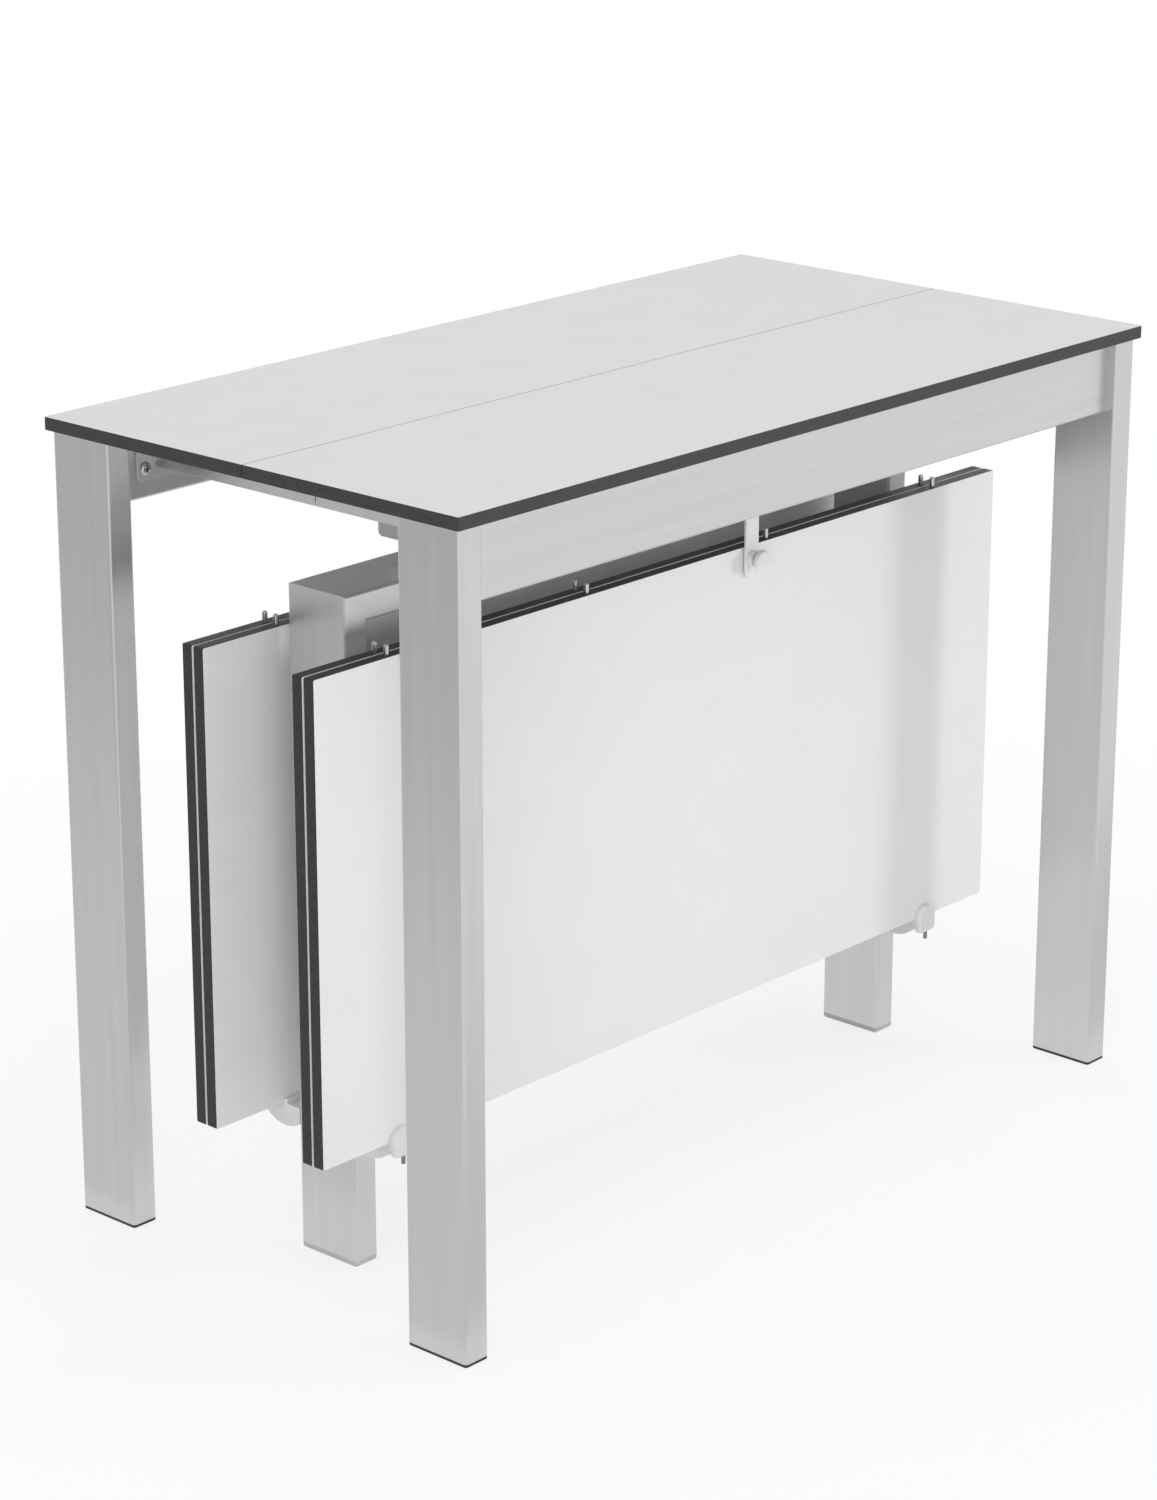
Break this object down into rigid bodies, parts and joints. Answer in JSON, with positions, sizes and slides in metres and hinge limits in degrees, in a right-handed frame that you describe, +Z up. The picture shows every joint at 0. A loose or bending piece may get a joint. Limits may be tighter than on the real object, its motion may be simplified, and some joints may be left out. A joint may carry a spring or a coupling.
{
  "type": "extending console table",
  "caption": "Console table whose half tops slide apart on telescopic rails, over a centre support that stores loose leaves on edge under the top.",
  "frame": {"origin": "on the floor under the middle of the closed table", "axes": "+X along the table to its right-hand end, +Y across it to the rear half, +Z up"},
  "size_m": [0.95, 0.504, 0.76],
  "materials": {
    "grey_laminate": "matt light-grey compact laminate with a black core at the edges",
    "white_laminate": "semi-gloss white compact laminate with a black core at the edges",
    "brushed_steel": "brushed stainless steel, grain along each tube",
    "rail_aluminium": "mill-finish extruded aluminium",
    "bright_steel": "plain bright steel",
    "black_plastic": "matt black moulded plastic",
    "grey_plastic": "silver-grey moulded plastic",
    "white_nylon": "satin white moulded nylon"
  },
  "bodies": {
    "centre_support": {"right_middle_rail": "rail_aluminium", "left_middle_rail": "rail_aluminium", "right_centre_leg": "brushed_steel", "left_centre_leg": "brushed_steel", "centre_feet": "grey_plastic", "crossbar": "brushed_steel", "crossbar_posts": "brushed_steel", "cross_beam": "brushed_steel", "beam_caps": "grey_plastic", "right_hanger": "bright_steel", "left_hanger": "bright_steel", "front_right_rest": "white_nylon", "front_left_rest": "white_nylon", "rear_right_rest": "white_nylon", "rear_left_rest": "white_nylon", "rest_pins": "bright_steel", "clip_brackets": "bright_steel", "clip_pins": "bright_steel"},
    "front_half": {"front_panel": "grey_laminate", "front_apron": "brushed_steel", "front_right_leg": "brushed_steel", "front_left_leg": "brushed_steel", "front_feet": "black_plastic", "front_rail_covers": "rail_aluminium", "front_rail_brackets": "bright_steel", "front_right_rail_1": "rail_aluminium", "front_left_rail_1": "rail_aluminium"},
    "front_left_stage_2": {"front_left_rail_2": "rail_aluminium"},
    "front_left_stage_3": {"front_left_rail_3": "rail_aluminium"},
    "front_right_stage_2": {"front_right_rail_2": "rail_aluminium"},
    "front_right_stage_3": {"front_right_rail_3": "rail_aluminium"},
    "front_inner_leaf_board": {"front_inner_leaf": "white_laminate", "front_inner_dowels": "bright_steel"},
    "front_outer_leaf_board": {"front_outer_leaf": "white_laminate", "front_outer_dowels": "bright_steel"},
    "front_clip_arm": {"front_clip": "white_nylon"},
    "front_clip_turn_knob": {"front_clip_knob": "white_nylon"},
    "rear_half": {"rear_panel": "grey_laminate", "rear_apron": "brushed_steel", "rear_right_leg": "brushed_steel", "rear_left_leg": "brushed_steel", "rear_feet": "black_plastic", "rear_rail_covers": "rail_aluminium", "rear_rail_brackets": "bright_steel", "rear_right_rail_1": "rail_aluminium", "rear_left_rail_1": "rail_aluminium"},
    "rear_left_stage_2": {"rear_left_rail_2": "rail_aluminium"},
    "rear_left_stage_3": {"rear_left_rail_3": "rail_aluminium"},
    "rear_right_stage_2": {"rear_right_rail_2": "rail_aluminium"},
    "rear_right_stage_3": {"rear_right_rail_3": "rail_aluminium"},
    "rear_inner_leaf_board": {"rear_inner_leaf": "white_laminate", "rear_inner_dowels": "bright_steel"},
    "rear_outer_leaf_board": {"rear_outer_leaf": "white_laminate", "rear_outer_dowels": "bright_steel"},
    "rear_clip_arm": {"rear_clip": "white_nylon"},
    "rear_clip_turn_knob": {"rear_clip_knob": "white_nylon"}
  },
  "joints": [
    {"name": "front_slide", "type": "slide", "parent": "centre_support", "child": "front_half", "axis": [0, -1, 0], "range_m": [0, 0.9]},
    {"name": "front_left_stage_2_slide", "type": "slide", "parent": "centre_support", "child": "front_left_stage_2", "axis": [0, -1, 0], "range_m": [0, 0.6]},
    {"name": "front_left_stage_3_slide", "type": "slide", "parent": "centre_support", "child": "front_left_stage_3", "axis": [0, -1, 0], "range_m": [0, 0.3]},
    {"name": "front_right_stage_2_slide", "type": "slide", "parent": "centre_support", "child": "front_right_stage_2", "axis": [0, -1, 0], "range_m": [0, 0.6]},
    {"name": "front_right_stage_3_slide", "type": "slide", "parent": "centre_support", "child": "front_right_stage_3", "axis": [0, -1, 0], "range_m": [0, 0.3]},
    {"name": "front_inner_leaf_lift", "type": "slide", "parent": "centre_support", "child": "front_inner_leaf_board", "axis": [0, 0, 1], "range_m": [0, 0.02]},
    {"name": "front_outer_leaf_lift", "type": "slide", "parent": "centre_support", "child": "front_outer_leaf_board", "axis": [0, 0, 1], "range_m": [0, 0.02]},
    {"name": "front_clip_hinge", "type": "hinge", "parent": "centre_support", "child": "front_clip_arm", "pos_m": [0.094, -0.042, 0.619], "axis": [-1, 0, 0], "range_deg": [0, 90]},
    {"name": "front_knob_turn", "type": "hinge", "parent": "front_clip_arm", "child": "front_clip_turn_knob", "pos_m": [0.094, -0.0975, 0.576], "axis": [0, -1, 0], "continuous": true},
    {"name": "rear_slide", "type": "slide", "parent": "centre_support", "child": "rear_half", "axis": [0, 1, 0], "range_m": [0, 0.9]},
    {"name": "rear_left_stage_2_slide", "type": "slide", "parent": "centre_support", "child": "rear_left_stage_2", "axis": [0, 1, 0], "range_m": [0, 0.6]},
    {"name": "rear_left_stage_3_slide", "type": "slide", "parent": "centre_support", "child": "rear_left_stage_3", "axis": [0, 1, 0], "range_m": [0, 0.3]},
    {"name": "rear_right_stage_2_slide", "type": "slide", "parent": "centre_support", "child": "rear_right_stage_2", "axis": [0, 1, 0], "range_m": [0, 0.6]},
    {"name": "rear_right_stage_3_slide", "type": "slide", "parent": "centre_support", "child": "rear_right_stage_3", "axis": [0, 1, 0], "range_m": [0, 0.3]},
    {"name": "rear_inner_leaf_lift", "type": "slide", "parent": "centre_support", "child": "rear_inner_leaf_board", "axis": [0, 0, 1], "range_m": [0, 0.02]},
    {"name": "rear_outer_leaf_lift", "type": "slide", "parent": "centre_support", "child": "rear_outer_leaf_board", "axis": [0, 0, 1], "range_m": [0, 0.02]},
    {"name": "rear_clip_hinge", "type": "hinge", "parent": "centre_support", "child": "rear_clip_arm", "pos_m": [-0.094, 0.042, 0.619], "axis": [1, 0, 0], "range_deg": [0, 90]},
    {"name": "rear_knob_turn", "type": "hinge", "parent": "rear_clip_arm", "child": "rear_clip_turn_knob", "pos_m": [-0.094, 0.0975, 0.576], "axis": [0, 1, 0], "continuous": true}
  ],
  "couplings": [
    {"joint": "front_left_stage_2_slide", "follows": "front_slide", "ratio": 0.66667},
    {"joint": "front_left_stage_3_slide", "follows": "front_slide", "ratio": 0.33333},
    {"joint": "front_right_stage_2_slide", "follows": "front_slide", "ratio": 0.66667},
    {"joint": "front_right_stage_3_slide", "follows": "front_slide", "ratio": 0.33333},
    {"joint": "rear_left_stage_2_slide", "follows": "rear_slide", "ratio": 0.66667},
    {"joint": "rear_left_stage_3_slide", "follows": "rear_slide", "ratio": 0.33333},
    {"joint": "rear_right_stage_2_slide", "follows": "rear_slide", "ratio": 0.66667},
    {"joint": "rear_right_stage_3_slide", "follows": "rear_slide", "ratio": 0.33333}
  ]
}
